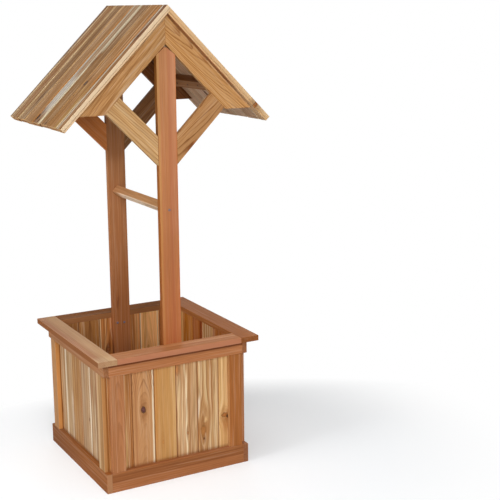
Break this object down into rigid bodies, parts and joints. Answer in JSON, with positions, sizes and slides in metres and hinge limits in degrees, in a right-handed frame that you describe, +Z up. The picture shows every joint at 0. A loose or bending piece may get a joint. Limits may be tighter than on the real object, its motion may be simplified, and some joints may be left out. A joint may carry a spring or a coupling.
{
  "type": "wishing well planter",
  "caption": "Square boarded wooden planter box with a flat cap rail, tall posts joined by a crossbar, and a small steep gabled roof held by braced rafters.",
  "frame": {"origin": "on the ground under the middle of the planter box", "axes": "+Z up, +Y from the front gable to the back gable, along the ridge; +X to the right as seen from the front"},
  "size_m": [0.695, 0.5576, 1.492],
  "materials": {
    "wall_boards": "unfinished planed cedar",
    "base_trim": "unfinished planed cedar",
    "stiles": "unfinished planed cedar",
    "frieze": "unfinished planed cedar",
    "cap_rails": "unfinished planed cedar",
    "floor_timber": "unfinished planed cedar",
    "posts": "unfinished planed cedar",
    "crossbar": "unfinished planed cedar",
    "gable_frames": "unfinished planed cedar",
    "purlins": "unfinished planed cedar",
    "roof_boards": "unfinished planed cedar"
  },
  "bodies": {
    "root": {"frontWall": "wall_boards", "backWall": "wall_boards", "leftWall": "wall_boards", "rightWall": "wall_boards", "leftBaseTrim": "base_trim", "rightBaseTrim": "base_trim", "frontBaseTrim": "base_trim", "backBaseTrim": "base_trim", "frontStileA": "stiles", "frontStileB": "stiles", "rightStileA": "stiles", "rightStileB": "stiles", "backStileA": "stiles", "backStileB": "stiles", "leftStileA": "stiles", "leftStileB": "stiles", "leftFrieze": "frieze", "rightFrieze": "frieze", "frontFrieze": "frieze", "backFrieze": "frieze", "leftCapRail": "cap_rails", "rightCapRail": "cap_rails", "frontCapRail": "cap_rails", "backCapRail": "cap_rails", "rightFloorCleat": "floor_timber", "leftFloorCleat": "floor_timber", "floorSlat1": "floor_timber", "floorSlat2": "floor_timber", "floorSlat3": "floor_timber", "floorSlat4": "floor_timber", "floorSlat5": "floor_timber", "frontPost": "posts", "backPost": "posts", "crossbar": "crossbar", "frontLeftRafter": "gable_frames", "frontLeftBrace": "gable_frames", "frontRightRafter": "gable_frames", "frontRightBrace": "gable_frames", "backLeftRafter": "gable_frames", "backLeftBrace": "gable_frames", "backRightRafter": "gable_frames", "backRightBrace": "gable_frames", "rightPurlin": "purlins", "leftPurlin": "purlins", "leftRoofBoard1": "roof_boards", "leftRoofBoard2": "roof_boards", "leftRoofBoard3": "roof_boards", "leftRoofBoard4": "roof_boards", "leftRoofBoard5": "roof_boards", "leftRoofBoard6": "roof_boards", "leftRoofBoard7": "roof_boards", "leftRoofBoard8": "roof_boards", "rightRoofBoard1": "roof_boards", "rightRoofBoard2": "roof_boards", "rightRoofBoard3": "roof_boards", "rightRoofBoard4": "roof_boards", "rightRoofBoard5": "roof_boards", "rightRoofBoard6": "roof_boards", "rightRoofBoard7": "roof_boards", "rightRoofBoard8": "roof_boards"}
  },
  "joints": []
}
